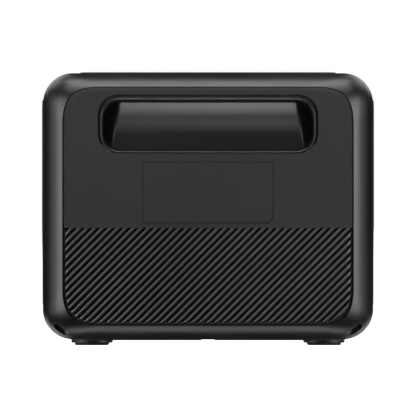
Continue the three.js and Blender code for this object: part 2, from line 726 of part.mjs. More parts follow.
function inverterBoard() {
  const { count, radius, height, x, y, pitch } = CAPACITOR;
  const parts = [board(INVERTER, INVERTER.low, 0)];
  for (let i = 0; i < count; i += 1) {
    parts.push(rodZ(radius, ON_INVERTER - 0.5, ON_INVERTER + height, x + i * pitch, y));
  }
  return join(...parts);
}

function heatSink() {
  const { width, depth, base, fins, finHeight, thick, x, y } = HEAT_SINK;
  const low = ON_INVERTER + GAP;
  const pitch = (depth - thick) / (fins - 1);
  const finMid = low + base - 1 + (finHeight + 1) / 2;
  const parts = [block(width, depth, base, x, y, low + base / 2)];
  for (let i = 0; i < fins; i += 1) {
    const finY = y - (depth - thick) / 2 + i * pitch;
    parts.push(block(width, thick, finHeight + 1, x, finY, finMid));
  }
  return join(...parts);
}

// A laminated core with a round coil on it.
function transformer() {
  const { radius, length, x, y } = COIL;
  const low = ON_INVERTER + GAP;
  const height = 2 * radius;
  const coilLow = low + (height - length) / 2;
  return join(
    block(2 * radius + 6, 16, height, x, y, low + height / 2),
    rodZ(radius, coilLow, coilLow + length, x, y, 20),
  );
}

// ---------------------------------------------------------------- fans, made along Z
function fanFrame() {
  const { size, thick, bore, hub } = FAN;
  const half = thick / 2;
  const { count, width, thick: spokeThick } = FAN_SPOKES;
  const spokes = [];
  for (let i = 0; i < count; i += 1) {
    const spoke = new THREE.BoxGeometry(bore, width, spokeThick);
    spoke.translate(bore / 2 + 2, 0, half - spokeThick / 2);
    spokes.push(solid(spoke.rotateZ((i * 2 * Math.PI) / count)));
  }
  return join(
    cut(slabZ(roundedRect(size, size, 5), -half, half), rodZ(bore, -size, size, 0, 0, FINE_STEPS)),
    rodZ(hub + 1, half - spokeThick, half, 0, 0),
    rodZ(FAN_AXLE, -half / 2, half - 1, 0, 0, 12),
    ...spokes,
  );
}

function fanRotor() {
  const { bore, hub, blades } = FAN;
  const start = hub - 3;
  const length = bore - 2 - start;
  const parts = [];
  for (let i = 0; i < blades; i += 1) {
    const blade = new THREE.BoxGeometry(length, FAN_BLADE.thick, FAN_BLADE.chord);
    blade.rotateX(FAN_BLADE.pitch).translate(start + length / 2, 0, -1);
    parts.push(solid(blade.rotateZ((i * 2 * Math.PI) / blades)));
  }
  const bearing = rodZ(FAN_AXLE + GAP, -7, 20, 0, 0, 12);
  return cut(join(rodZ(hub, -10, 9.2, 0, 0), ...parts), bearing);
}

function buildFan(group, name, side) {
  const fan = new THREE.Group();
  fan.position.set(side * FAN.x, 0, FAN.z);
  fan.rotation.y = (side * Math.PI) / 2;
  place(fan, `${name}_fan_frame`, fanFrame(), "dark_plastic");
  place(fan, `${name}_fan_rotor`, fanRotor(), "dark_plastic");
  group.add(fan);
}

// ---------------------------------------------------------------- assembly
const station = new THREE.Group();

place(station, "rear_frame", housingHalf(), "gloss_black");
place(station, "rear_panel", rearPanel(), "panel_black");
place(station, "rear_grip_cup", gripCup(), "grip_black");
place(station, "rating_label", ratingLabel(), "panel_black");
place(station, "top_cover", flatCover(TOP_WIDTH, HEIGHT), "gloss_black");
place(station, "base_plate", basePlate(), "dark_plastic");
place(station, "left_vent_panel", ventPanel(-1), "panel_black");
place(station, "right_vent_panel", ventPanel(1), "panel_black");

const controls = new THREE.Group();
controls.rotation.z = Math.PI;
buildControls(controls);
station.add(controls);

[[-1, -1], [1, -1], [-1, 1], [1, 1]].forEach(([right, back], i) => {
  const x = right * FOOT_X;
  const y = back * FOOT_Y;
  place(station, `foot_base_${i + 1}`, footBase(x, y), "dark_plastic");
  place(station, `foot_pad_${i + 1}`, footPad(x, y), "rubber");
  const half = back < 0 ? station : controls;
  place(half, `corner_screw_${i + 1}`, cornerScrew(right), "steel");
});

place(station, "battery_tray", batteryTray(), "dark_plastic");
for (let i = 0; i < CELL.count; i += 1) {
  const x = (i - (CELL.count - 1) / 2) * CELL.pitch;
  place(station, `cell_${i + 1}`, cell(x), "cell_blue");
}
place(station, "bms_board", bmsBoard(), "board_green");
place(station, "inverter_board", inverterBoard(), "board_green");
place(station, "heat_sink", heatSink(), "aluminium");
place(station, "transformer", transformer(), "copper");
buildFan(station, "intake", -1);
buildFan(station, "exhaust", 1);

export default station;
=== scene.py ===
"""A portable power station, seen straight on from its ribbed rear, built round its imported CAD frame."""

import json
import math

import bmesh
import bpy
import numpy as np
from mathutils import Matrix, Vector
from mathutils.geometry import delaunay_2d_cdt


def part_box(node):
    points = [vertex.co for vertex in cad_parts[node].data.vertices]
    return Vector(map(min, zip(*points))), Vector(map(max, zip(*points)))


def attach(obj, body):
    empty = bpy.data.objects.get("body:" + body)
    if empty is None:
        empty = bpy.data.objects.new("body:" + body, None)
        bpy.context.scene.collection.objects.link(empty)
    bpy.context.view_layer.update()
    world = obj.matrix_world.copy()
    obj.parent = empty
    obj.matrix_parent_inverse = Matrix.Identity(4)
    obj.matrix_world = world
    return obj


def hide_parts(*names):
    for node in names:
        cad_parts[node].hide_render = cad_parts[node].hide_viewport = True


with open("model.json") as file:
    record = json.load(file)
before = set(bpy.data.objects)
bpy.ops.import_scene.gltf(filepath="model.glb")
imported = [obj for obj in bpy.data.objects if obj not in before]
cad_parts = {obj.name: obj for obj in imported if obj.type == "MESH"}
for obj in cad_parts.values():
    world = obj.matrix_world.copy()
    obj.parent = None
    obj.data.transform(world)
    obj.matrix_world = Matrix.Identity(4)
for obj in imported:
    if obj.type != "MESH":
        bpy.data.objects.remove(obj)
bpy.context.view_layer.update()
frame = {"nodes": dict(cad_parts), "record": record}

MM = 0.001
NODES = frame["nodes"]
scene = bpy.context.scene


# ------------------------------------------------------------------ places from the CAD frame
class Place:
    """The box of a CAD node in millimetres: its low and high corners, its middle and its size."""

    def __init__(self, node):
        low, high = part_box(node)
        self.low = Vector(low) / MM
        self.high = Vector(high) / MM
        self.mid = (self.low + self.high) / 2
        self.size = self.high - self.low


BODY = Place("rear_frame")
PANEL = Place("rear_panel")
LABEL = Place("rating_label")
TOP = Place("top_cover")
BASE = Place("base_plate")
SIDE = Place("right_vent_panel")

HALF_DEPTH = -BODY.low.y
FACE = -PANEL.low.y
PANEL_BACK = -PANEL.high.y
WALL = 4.0
GAP = 0.3  # round every control and cover
SEAM = 0.08  # between the housing and a face panel
RIM = 0.14  # the flat rim between the roll and the seam
HALF_SEAM = 0.05  # the two halves lap by this much, so no light shows through their seam

# Corners are superellipse quarters: how far each reaches along a side, and its power.
BODY_CORNER = (28.5, 2.0)
PANEL_CORNER = (41.0, 3.15)
COVER_CORNER = (20.0, 2.0)
GRIP_CORNER = (20.0, 2.15)

# The housing's skin rolls over from its sides to this angle at the face panel.
ROLL_DEPTH = 32.0
ROLL_END = math.radians(35)
INNER_END = math.radians(48)

# The ribs: the top of their field, and their pitch, groove depth and crest place across them.
RIB_TOP = 111.2
RIB_PITCH = 7.26 / math.sqrt(2)
RIB_DEPTH = 2.9
RIB_CREST = 3.3
RIB_HALF = 1.8  # half the width of a rib's bead
RIB_BEND = 2.1  # the power of the bead's curve
RIB_EDGE = 2.3  # where the ribs start, in from the panel's edge
RIB_BORDER = 1.6  # how deep the border round them lies

# The grip: the outer edge of its lip, and the mouth inside the lip.
LIP = {"width": 208.0, "low": 181.3, "high": 236.6}
MOUTH = {"width": 197.6, "low": 183.2, "high": 229.2}


# ------------------------------------------------------------------ outlines
def corner_box(width, height, corner, steps=12, x=0.0, z=0.0):
    """Points anticlockwise round a box with superellipse corners."""
    reach, power = corner
    points = []
    for sx, sz, back in ((1, 1, 0), (-1, 1, 1), (-1, -1, 0), (1, -1, 1)):
        for k in range(steps + 1):
            angle = math.pi / 2 * (steps - k if back else k) / steps
            px = width / 2 - reach * (1 - max(math.cos(angle), 0.0) ** (2 / power))
            pz = height / 2 - reach * (1 - max(math.sin(angle), 0.0) ** (2 / power))
            points.append((x + sx * px, z + sz * pz))
    return points


def inset_of(px, pz, width, height, corner, x=0.0, z=0.0):
    """How far points lie inside such a box, below zero where they are outside it."""
    reach, power = corner
    qx = np.abs(px - x) - (width / 2 - reach)
    qz = np.abs(pz - z) - (height / 2 - reach)
    bent = (np.maximum(qx, 0) ** power + np.maximum(qz, 0) ** power) ** (1 / power)
    return reach - bent - np.minimum(np.maximum(qx, qz), 0)


def circle(radius, steps=40, x=0.0, z=0.0):
    turn = [2 * math.pi * k / steps for k in range(steps)]
    return [(x + radius * math.cos(a), z + radius * math.sin(a)) for a in turn]


def label_outline(extra):
    """The blank label: three tight corners and one cut one."""
    right = LABEL.size.x / 2 + extra
    low, high = LABEL.low.z - extra, LABEL.high.z + extra
    cut, tight = 4.7, 1.4
    path = [(right - cut, low), (right, low + cut), (right, high - tight)]
    for sx, z, start in ((1, high, 0), (-1, high, 90), (-1, low, 180)):
        centre = (sx * (right - tight), z - tight if z == high else z + tight)
        for k in range(5):
            angle = math.radians(start + 90 * k / 4)
            path.append((centre[0] + tight * math.cos(angle), centre[1] + tight * math.sin(angle)))
    return path


# ------------------------------------------------------------------ from a face to the frame
def on_rear(x, z, depth):
    return (x, depth - FACE, z)


def on_front(x, z, depth):
    return (-x, FACE - depth, z)


def on_right(x, z, depth):
    return (SIDE.high.x - depth, x, z)


def on_left(x, z, depth):
    return (depth - SIDE.high.x, -x, z)


def on_top(x, z, depth):
    return (x, z, TOP.high.z - depth)


def on_base(x, z, depth):
    return (x, -z, BASE.low.z + depth)


def on_floor(x, y, height):
    return (x, y, height)


# ------------------------------------------------------------------ mesh makers
def make_piece(name, points, faces, node, body="housing", sharp=35):
    """A mesh object from millimetre points. One with a node rides on its body in that node's place."""
    mesh = bpy.data.meshes.new(name)
    mesh.from_pydata([Vector(p) * MM for p in points], [], faces)
    work = bmesh.new()
    work.from_mesh(mesh)
    bmesh.ops.remove_doubles(work, verts=work.verts, dist=1e-6)
    bmesh.ops.dissolve_degenerate(work, edges=work.edges, dist=1e-7)
    bmesh.ops.recalc_face_normals(work, faces=work.faces)
    work.to_mesh(mesh)
    work.free()
    mesh.polygons.foreach_set("use_smooth", [True] * len(mesh.polygons))
    mesh.set_sharp_from_angle(angle=math.radians(sharp))
    piece = bpy.data.objects.new(name, mesh)
    scene.collection.objects.link(piece)
    if node:
        piece.modifiers.new("even shading", "WEIGHTED_NORMAL").keep_sharp = True
        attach(piece, body)
        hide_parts(node)
    return piece


def closed_rings(rings):
    """Points and faces of a doughnut through rings of equal count, the last joined to the first."""
    count = len(rings[0])
    total = len(rings)
    faces = []
    for k in range(total):
        below, above = k * count, (k + 1) % total * count
        for i in range(count):
            j = (i + 1) % count
            faces.append((below + i, below + j, above + j, above + i))
    return [p for ring in rings for p in ring], faces


def capped_rings(rings):
    """Points and faces of a solid through rings of equal count, with a face over each end."""
    count = len(rings[0])
    faces = [tuple(reversed(range(count)))]
    for k in range(len(rings) - 1):
        below, above = k * count, (k + 1) * count
        for i in range(count):
            j = (i + 1) % count
            faces.append((below + i, below + j, above + j, above + i))
    last = (len(rings) - 1) * count
    faces.append(tuple(range(last, last + count)))
    return [p for ring in rings for p in ring], faces


def merge_parts(*parts):
    """Several (points, faces) pairs as one."""
    points, faces = [], []
    for more_points, more_faces in parts:
        start = len(points)
        points += list(more_points)
        faces += [tuple(start + i for i in face) for face in more_faces]
    return points, faces


def turned(profile, place, x, z, steps=48):
    """A solid of revolution about a line straight into a face; profile is (radius, depth) pairs."""
    rings = [[place(px, pz, depth) for px, pz in circle(r, steps, x, z)] for r, depth in profile]
    return capped_rings(rings)


def rounded_slab(place, width, height, corner, depths, x=0.0, z=0.0, steps=8):
    """A slab with shaped edges: depths is (inset, depth) pairs from its front to its back."""
    reach, power = corner
    rings = []
    for inset, depth in depths:
        size = (width - 2 * inset, height - 2 * inset, (max(reach - inset, 0.05), power))
        rings.append([place(px, pz, depth) for px, pz in corner_box(*size, steps, x, z)])
    return capped_rings(rings)


def inside_loops(px, pz, loops):
    """Which points lie in the material: inside the outer loop and outside every hole."""
    inside = np.zeros(len(px), bool)
    for loop in loops:
        ring = np.array(loop)
        after = np.roll(ring, -1, axis=0)
        for (ax, az), (bx, bz) in zip(ring, after):
            if az == bz:
                continue
            crosses = (az > pz) != (bz > pz)
            inside ^= crosses & (px < (bx - ax) * (pz - az) / (bz - az) + ax)
    return inside


def relief(loops, lines, depth_at, back_at, place):
    """A plate with a shaped front: its outline and holes, extra lines for its shape, and its depths."""
    points, edges = [], []
    for loop in loops:
        start = len(points)
        points += [Vector(p) for p in loop]
        edges += [(start + i, start + (i + 1) % len(loop)) for i in range(len(loop))]
    for line in lines:
        start = len(points)
        points += [Vector(p) for p in line]
        edges += [(start + i, start + i + 1) for i in range(len(line) - 1)]
    flat, _, faces, _, _, _ = delaunay_2d_cdt(points, edges, [], 0, 1e-4, False)
    xs = np.array([p[0] for p in flat])
    zs = np.array([p[1] for p in flat])
    tris = np.array(faces)
    tris = tris[inside_loops(xs[tris].mean(1), zs[tris].mean(1), loops)]
    used = np.unique(tris)
    new_index = np.zeros(len(flat), int)
    new_index[used] = np.arange(len(used))
    tris = new_index[tris]
    xs, zs = xs[used], zs[used]
    front = depth_at(xs, zs)
    back = back_at(xs, zs)
    count = len(used)
    out = [place(x, z, d) for x, z, d in zip(xs, zs, front)]
    out += [place(x, z, d) for x, z, d in zip(xs, zs, back)]
    sides = np.concatenate([tris[:, [0, 1]], tris[:, [1, 2]], tris[:, [2, 0]]])
    both = {(a, b) for a, b in sides.tolist()}
    walls = [(b, a, a + count, b + count) for a, b in both if (b, a) not in both]
    mesh_faces = tris.tolist() + (tris[:, ::-1] + count).tolist() + walls
    return out, mesh_faces


def level(depth):
    """A depth that is the same everywhere, for the back of a plate."""
    return lambda x, z: np.full(len(x), float(depth))


def cut_away(piece, cutter):
    """Cuts one piece's shape out of another and removes the cutter."""
    piece.modifiers.clear()
    work = piece.modifiers.new("cut", "BOOLEAN")
    work.operation = "DIFFERENCE"
    work.solver = "EXACT"
    work.object = cutter
    bpy.context.view_layer.update()
    shape = bpy.data.meshes.new_from_object(piece.evaluated_get(bpy.context.evaluated_depsgraph_get()))
    piece.modifiers.clear()
    piece.modifiers.new("even shading", "WEIGHTED_NORMAL").keep_sharp = True
    piece.data = shape
    shape.set_sharp_from_angle(angle=math.radians(30))
    bpy.data.objects.remove(cutter)


def cutter_piece(name, parts):
    return make_piece(name, *parts, node=None)


# ------------------------------------------------------------------ materials
class Shader:
    """A material's node tree, with short calls to add and join nodes."""

    def __init__(self, name, colour, roughness, metallic=0.0):
        self.material = bpy.data.materials.new(name)
        self.material.use_nodes = True
        self.tree = self.material.node_tree
        self.surface = self.tree.nodes["Principled BSDF"]
        self.surface.inputs["Base Color"].default_value = (*colour, 1)
        self.surface.inputs["Roughness"].default_value = roughness
        self.surface.inputs["Metallic"].default_value = metallic
        self.coords = self.add("ShaderNodeTexCoord").outputs["Object"]

    def add(self, kind, **values):
        node = self.tree.nodes.new(kind)
        for key, value in values.items():
            if hasattr(node, key):
                setattr(node, key, value)
            else:
                node.inputs[key.replace("_", " ").title()].default_value = value
        return node

    def join(self, output, target):
        self.tree.links.new(output, target)

    def noise(self, scale, detail=2.0, stretch=None):
        source = self.coords
        if stretch:
            mapping = self.add("ShaderNodeMapping")
            mapping.inputs["Scale"].default_value = stretch
            self.join(source, mapping.inputs["Vector"])
            source = mapping.outputs["Vector"]
        noise = self.add("ShaderNodeTexNoise", Scale=scale, Detail=detail)
        self.join(source, noise.inputs["Vector"])
        return noise.outputs["Fac"]

    def ranged(self, value, low, high, start=0.3, stop=0.7):
        ramp = self.add("ShaderNodeMapRange")
        for name, number in (("From Min", start), ("From Max", stop), ("To Min", low), ("To Max", high)):
            ramp.inputs[name].default_value = number
        self.join(value, ramp.inputs["Value"])
        return ramp.outputs["Result"]

    def math(self, operation, *values):
        """A sum on sockets and plain numbers."""
        node = self.add("ShaderNodeMath", operation=operation)
        for value, target in zip(values, node.inputs):
            if isinstance(value, float):
                target.default_value = value
            else:
                self.join(value, target)
        return node.outputs[0]

    def bump(self, height, strength, distance):
        bump = self.add("ShaderNodeBump")
        bump.inputs["Strength"].default_value = strength
        bump.inputs["Distance"].default_value = distance
        self.join(height, bump.inputs["Height"])
        old = self.surface.inputs["Normal"]
        if old.is_linked:
            self.join(old.links[0].from_socket, bump.inputs["Normal"])
        self.join(bump.outputs["Normal"], old)

    def tint(self, factor, light, dark):
        mix = self.add("ShaderNodeMix", data_type="RGBA")
        mix.inputs[6].default_value = (*dark, 1)
        mix.inputs[7].default_value = (*light, 1)
        self.join(factor, mix.inputs["Factor"])
        return mix.outputs[2]


def shade(grey):
    return (grey, grey, grey)


def grained(name, grey, roughness, grain, depth):
    """Moulded plastic of one colour, with a fine grain and a cloudy gloss."""
    made = Shader(name, shade(grey), roughness)
    clouds = made.noise(9.0, 4.0)
    made.join(made.ranged(clouds, roughness - 0.035, roughness + 0.035), made.surface.inputs["Roughness"])
    made.bump(made.noise(grain, 2.0), 0.5, depth)
    return made


def moulded(name, grey, roughness, grain, depth, wear=1.6):
    """Moulded plastic with its edges rubbed a little lighter."""
    made = grained(name, grey, roughness, grain, depth)
    edges = made.add("ShaderNodeNewGeometry").outputs["Pointiness"]
    rubbed = made.ranged(edges, 0.0, 1.0, 0.53, 0.6)
    worn = made.math("MULTIPLY", rubbed, made.ranged(made.noise(140.0, 3.0), 0.2, 1.0))
    made.join(made.tint(worn, shade(grey * wear), shade(grey)), made.surface.inputs["Base Color"])
    return made.material


def ribbed(name, grey, roughness, grain, depth, crest_painted_highlight_gloss, rib_painted_shade_grey):
    """The rear panel's plastic: darker below the rib field's top as painted shade for its grooves, with a
    painted highlight on the crests and painted shade in the grooves through its specular level.
    """
    made = grained(name, grey, roughness, grain, depth)
    parts = made.add("ShaderNodeSeparateXYZ")
    made.join(made.coords, parts.inputs["Vector"])
    field = made.ranged(parts.outputs["Z"], 1.0, 0.0, (RIB_TOP - 0.4) * MM, (RIB_TOP + 0.2) * MM)
    # Specular level by depth in the rib field: raised on the crests as a painted highlight, cut in the
    # grooves as painted shade.
    crest_depth, groove_depth = (0.7 - FACE) * MM, (2.4 - FACE) * MM
    plain_gloss, groove_painted_shade_gloss = 0.5, 0.05
    more = made.ranged(parts.outputs["Y"], crest_painted_highlight_gloss - plain_gloss, groove_painted_shade_gloss - plain_gloss,
                       crest_depth, groove_depth)
    gloss = made.math("MULTIPLY_ADD", field, more, plain_gloss)
    made.join(gloss, made.surface.inputs["Specular IOR Level"])
    # Painted shade: the rib field's base colour is darker than the plain part's.
    made.join(made.tint(field, shade(rib_painted_shade_grey), shade(grey)), made.surface.inputs["Base Color"])
    return made.material


def rubbery(name, grey):
    """Soft rubber: matte, slightly powdery, with a fine even grain."""
    made = Shader(name, shade(grey), 0.8)
    dust = made.ranged(made.noise(30.0, 5.0), 0.0, 1.0, 0.45, 0.75)
    made.join(made.tint(dust, shade(grey * 1.7), shade(grey)), made.surface.inputs["Base Color"])
    made.bump(made.noise(2600.0, 1.0), 0.5, 0.00006)
    return made.material


def brushed(name, colour, roughness, stretch=(1, 1, 60)):
    """Bare metal with fine drawn lines and a little tarnish."""
    made = Shader(name, colour, roughness, 1.0)
    lines = made.noise(220.0, 3.0, stretch)
    made.join(made.ranged(lines, roughness - 0.08, roughness + 0.1), made.surface.inputs["Roughness"])
    tarnish = made.ranged(made.noise(45.0, 4.0), 0.0, 1.0)
    darker = tuple(0.72 * c for c in colour)
    made.join(made.tint(tarnish, colour, darker), made.surface.inputs["Base Color"])
    made.bump(lines, 0.25, 0.00003)
    return made.material


def polished_lens(name):
    """Smoked glossy acrylic with faint wiping marks."""
    made = Shader(name, shade(0.004), 0.06)
    marks = made.noise(60.0, 5.0, (1, 1, 7))
    made.join(made.ranged(marks, 0.04, 0.11), made.surface.inputs["Roughness"])
    made.surface.inputs["Coat Weight"].default_value = 0.6
    made.surface.inputs["Coat Roughness"].default_value = 0.03
    return made.material


def wrapped_cell(name):
    """Printed blue film shrunk over a can, with fine wrinkles."""
    made = Shader(name, (0.03, 0.10, 0.24), 0.35)
    folds = made.noise(90.0, 4.0, (1, 1, 0.2))
    made.join(made.ranged(folds, 0.28, 0.45), made.surface.inputs["Roughness"])
    made.join(made.tint(made.ranged(folds, 0, 1), (0.04, 0.13, 0.3), (0.025, 0.085, 0.2)),
              made.surface.inputs["Base Color"])
    made.bump(folds, 0.4, 0.0003)
    return made.material


def circuit_board(name):
    """Green solder mask over faint square copper pours."""
    made = Shader(name, (0.01, 0.09, 0.03), 0.4)
    pours = made.add("ShaderNodeTexBrick", Scale=38.0)
    made.join(made.coords, pours.inputs["Vector"])
    pours.inputs["Color1"].default_value = (0.012, 0.10, 0.035, 1)
    pours.inputs["Color2"].default_value = (0.018, 0.13, 0.05, 1)
    pours.inputs["Mortar"].default_value = (0.006, 0.05, 0.02, 1)
    made.join(pours.outputs["Color"], made.surface.inputs["Base Color"])
    made.bump(pours.outputs["Fac"], 0.3, 0.0001)
    return made.material


MATERIALS = {
    "plain_panel": moulded("plain_panel", 0.027, 0.42, 1300.0, 0.00001),
    "gloss_black": moulded("gloss_black", 0.003, 0.34, 1500.0, 0.00001),
    # panel_black's rib field holds painted shade and a painted highlight.
    "panel_black": ribbed("panel_black", 0.027, 0.42, 1300.0, 0.00001, crest_painted_highlight_gloss=1.5, rib_painted_shade_grey=0.01),
    "grip_black": moulded("grip_black", 0.004, 0.4, 1500.0, 0.00001),
    "dark_plastic": moulded("dark_plastic", 0.006, 0.45, 1400.0, 0.00003),
    "button_grey": moulded("button_grey", 0.045, 0.42, 1600.0, 0.00003),
    "rubber": rubbery("rubber", 0.006),
    "smoked_lens": polished_lens("smoked_lens"),
    "steel": brushed("steel", (0.55, 0.55, 0.56), 0.32),
    "blackened_steel": brushed("blackened_steel", (0.03, 0.03, 0.03), 0.45),
    "aluminium": brushed("aluminium", (0.6, 0.61, 0.62), 0.4, (60, 1, 1)),
    "copper": brushed("copper", (0.55, 0.24, 0.11), 0.4, (1, 60, 1)),
    "cell_blue": wrapped_cell("cell_blue"),
    "board_green": circuit_board("board_green"),
}
SLOT_OF = {part["node"]: part["material_slot"] for part in frame["record"]["subparts"]}


def dress(piece, slot, look=None):
    """Gives a piece its material: the look if one is given, else its slot's."""
    piece.data.materials.clear()
    piece.data.materials.append(MATERIALS[look or slot])
    return piece


def build(node, parts, body="housing", sharp=35, look=None):
    """A finished piece in place of a CAD node, with its slot's material unless a look is given."""
    piece = make_piece(node + "_shape", *parts, node=node, body=body, sharp=sharp)
    return dress(piece, SLOT_OF[node], look)


# ------------------------------------------------------------------ housing
def roll_ring(angle, inset, steps):
    """A section of the housing where its skin leans at an angle from straight out."""
    share = (1 - math.sin(angle)) / (1 - math.sin(ROLL_END))
    reach = math.cos(angle) / math.cos(ROLL_END)
    side = (BODY.size.x - PANEL.size.x) / 2 - SEAM - RIM
    upright = (BODY.size.z - PANEL.size.z) / 2 - SEAM - RIM
    inwards = inset * math.sin(angle)
    extent = BODY_CORNER[0] + share * (PANEL_CORNER[0] - BODY_CORNER[0]) - inwards
    power = BODY_CORNER[1] + share * (PANEL_CORNER[1] - BODY_CORNER[1])
    y = ROLL_DEPTH * (1 - reach) - HALF_DEPTH + inset * math.cos(angle)
    width = BODY.size.x - 2 * (side * share + inwards)
    height = BODY.size.z - 2 * (upright * share + inwards)
    return section(y, width, height, (extent, power), steps)


def section(y, width, height, corner, steps):
    return [(x, y, z) for x, z in corner_box(width, height, corner, steps, 0, BODY.mid.z)]


def frame_rings(steps=26, inner_turns=8, outer_turns=30):
    """The rear half's shell as rings: in along the inside, round the ledge, and back over the roll."""
    ledge_back, ledge_front, ledge = 3.3, 0.3, 3.5
    inner = (BODY.size.x - 2 * WALL, BODY.size.z - 2 * WALL, (BODY_CORNER[0] - WALL, BODY_CORNER[1]))
    rings = [section(HALF_SEAM, *inner, steps)]
    for k in range(inner_turns + 1):
        angle = math.pi / 2 - k / inner_turns * (math.pi / 2 - INNER_END)
        rings.append(roll_ring(angle, WALL, steps))
    opening = (PANEL.size.x + 2 * SEAM, PANEL.size.z + 2 * SEAM, PANEL_CORNER)
    lip = (PANEL.size.x - 2 * ledge, PANEL.size.z - 2 * ledge, (PANEL_CORNER[0] - ledge, PANEL_CORNER[1]))
    rings.append(section(ledge_back - PANEL_BACK, *lip, steps))
    rings.append(section(ledge_front - PANEL_BACK, *lip, steps))
    rings.append(section(ledge_front - PANEL_BACK, *opening, steps))
    rings.append(section(0.2 - HALF_DEPTH, *opening, steps))
    width, height, corner = opening
    for inset, lift in ((0.03, 0.08), (0.08, 0.02)):
        rings.append(section(lift - HALF_DEPTH, width + 2 * inset, height + 2 * inset, corner, steps))
    for k in range(outer_turns + 1):
        rings.append(roll_ring(ROLL_END + k / outer_turns * (math.pi / 2 - ROLL_END), 0, steps))
    outer = (BODY.size.x, BODY.size.z, BODY_CORNER)
    rings.append(section(HALF_SEAM - 0.5, *outer, steps))
    rings.append(section(HALF_SEAM - 0.12, BODY.size.x - 0.3, BODY.size.z - 0.3, BODY_CORNER, steps))
    rings.append(section(HALF_SEAM, BODY.size.x - 1, BODY.size.z - 1, BODY_CORNER, steps))
    return rings


def cover_cutters():
    """The recesses that the covers lie in, and the windows behind the side panels' slots."""
    depth, gap = TOP.size.y, 2 * GAP
    floor = TOP.size.z - 1 + GAP
    corner = (COVER_CORNER[0] + GAP, COVER_CORNER[1])
    cuts = [(0.0, -8.0), (0.0, 1 + floor)]
    window = [(0.0, -8.0), (0.0, 16.0)]
    parts = [
        rounded_slab(on_top, TOP.size.x + gap, depth + gap, corner, cuts),
        rounded_slab(on_base, BASE.size.x + gap, depth + gap, corner, cuts),
    ]
    for place in (on_left, on_right):
        parts.append(rounded_slab(place, depth + gap, SIDE.size.z + gap, corner, cuts, 0, SIDE.mid.z))
        parts.append(rounded_slab(place, 104, 74, (8, 2.0), window, 0, 74))
    return parts


def pocket_cutter(side):
    """The slanted oblong pocket in one bottom corner, with the bore down to its screw."""
    long, wide, floor_to_screw = 17.5, 8.4, 3.6
    lean = math.radians(27)
    screw = Place("corner_screw_1" if side < 0 else "corner_screw_2")
    out = Vector((side * math.sqrt(0.5), 0, -math.sqrt(0.5))) * math.cos(lean)
    out.y = -math.sin(lean)
    along = Vector((1, 0, side)).normalized()
    across = out.cross(along)
    floor = screw.mid + out * floor_to_screw

    def place(x, z, depth):
        return tuple(floor + along * x + across * z - out * depth)

    edge = [(0.0, -14.0), (0.0, -1.6), (0.5, -0.6), (1.6, -0.1)]
    oblong = rounded_slab(place, long, wide, (wide / 2 - 0.01, 2.0), edge, steps=10)
    bore = turned([(2.6, -2.0), (2.6, 6.0)], place, 0, 0, 20)
    return [oblong, bore]


def build_frames():
    points, faces = closed_rings(frame_rings())
    rear = build("rear_frame", (points, faces), sharp=30)
    cutters = cover_cutters() + pocket_cutter(-1) + pocket_cutter(1)
    for number, parts in enumerate(cutters):
        cut_away(rear, cutter_piece(f"cutter_{number}", parts))
    front = rear.copy()
    front.data = rear.data.copy()
    front.name = "front_frame_shape"
    scene.collection.objects.link(front)
    front.parent = None
    front.data.transform(Matrix.Rotation(math.pi, 4, "Z"))
    for key in [k for k in front.keys() if k.startswith("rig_")]:
        del front[key]
    front.matrix_world = Matrix.Identity(4)
    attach(front, "housing")
    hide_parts("front_frame")
    dress(front, "gloss_black")


# ------------------------------------------------------------------ ribs
def rib_profile(across):
    """Depth across one rib: a round bead with a flat floor on each side."""
    off = np.abs((across - RIB_CREST + RIB_PITCH / 2) % RIB_PITCH - RIB_PITCH / 2)
    side = np.clip(off / RIB_HALF, 0, 1)
    return RIB_DEPTH * (1 - (1 - side ** RIB_BEND) ** (1 / RIB_BEND))


def rib_lines(width, low, high):
    """Slanted lines along the ribs, closer together where the ribs curve."""
    shares = (0.3, 0.55, 0.75, 0.88, 0.96, 1.0)
    marks = [RIB_CREST] + [RIB_CREST + side * share * RIB_HALF for share in shares for side in (-1, 1)]
    reach = (width / 2 + (high - low)) / math.sqrt(2)
    count = int(reach / RIB_PITCH) + 1
    lines = []
    for k in range(-count, count + 1):
        for mark in marks:
            shift = (k * RIB_PITCH + mark) * math.sqrt(2)
            x0, x1 = shift, shift + (high - low)
            start = max(x0, -width / 2)
            stop = min(x1, width / 2)
            if stop - start > 0.5:
                lines.append([(start, low + start - x0), (stop, high - (x1 - stop))])
    return lines


def field_borders(width):
    """Level lines across a panel, where the rib field ends at its top."""
    half = width / 2 - 1
    return [[(-half, RIB_TOP - drop), (half, RIB_TOP - drop)] for drop in (-0.3, 0.0, 0.35, 0.7)]


def rib_depth(px, pz, low, high, inset):
    """Depth of the ribs at points, fading out at the top of the field and near the edge."""
    across = (px - (pz - low)) / math.sqrt(2)
    top = np.clip((high - pz) / 0.7, 0, 1)
    edge = np.clip((inset - RIB_EDGE) / 1.8, 0, 1)
    return (rib_profile(across) * edge + RIB_BORDER * (1 - edge)) * top


def edge_roll(inset, width, drop):
    """Depth near an edge that rolls over, from full drop at the edge to nothing at its width in."""
    return drop * np.clip(1 - inset / width, 0, 1) ** 2.4


# ------------------------------------------------------------------ face panels
def panel_outline(extra, steps=30):
    corner = (PANEL_CORNER[0] + extra, PANEL_CORNER[1])
    width, height = PANEL.size.x + 2 * extra, PANEL.size.z + 2 * extra
    return corner_box(width, height, corner, steps, 0, PANEL.mid.z)


def panel_edge_lines():
    """Lines round a face panel, closer together where its edge rolls over and the ribs start."""
    insets = (0.35, 0.9, 1.6, 2.5, 3.0, 3.5, 4.8, 6.0, 6.3)
    return [closed_line(panel_outline(-inset)) for inset in insets]


def panel_roll(px, pz):
    """Depth of a face panel's edge, at points."""
    return edge_roll(panel_inset(px, pz), 5.0, 0.7)


def panel_inset(px, pz):
    return inset_of(px, pz, PANEL.size.x, PANEL.size.z, PANEL_CORNER, 0, PANEL.mid.z)


def closed_line(points):
    return points + points[:1]


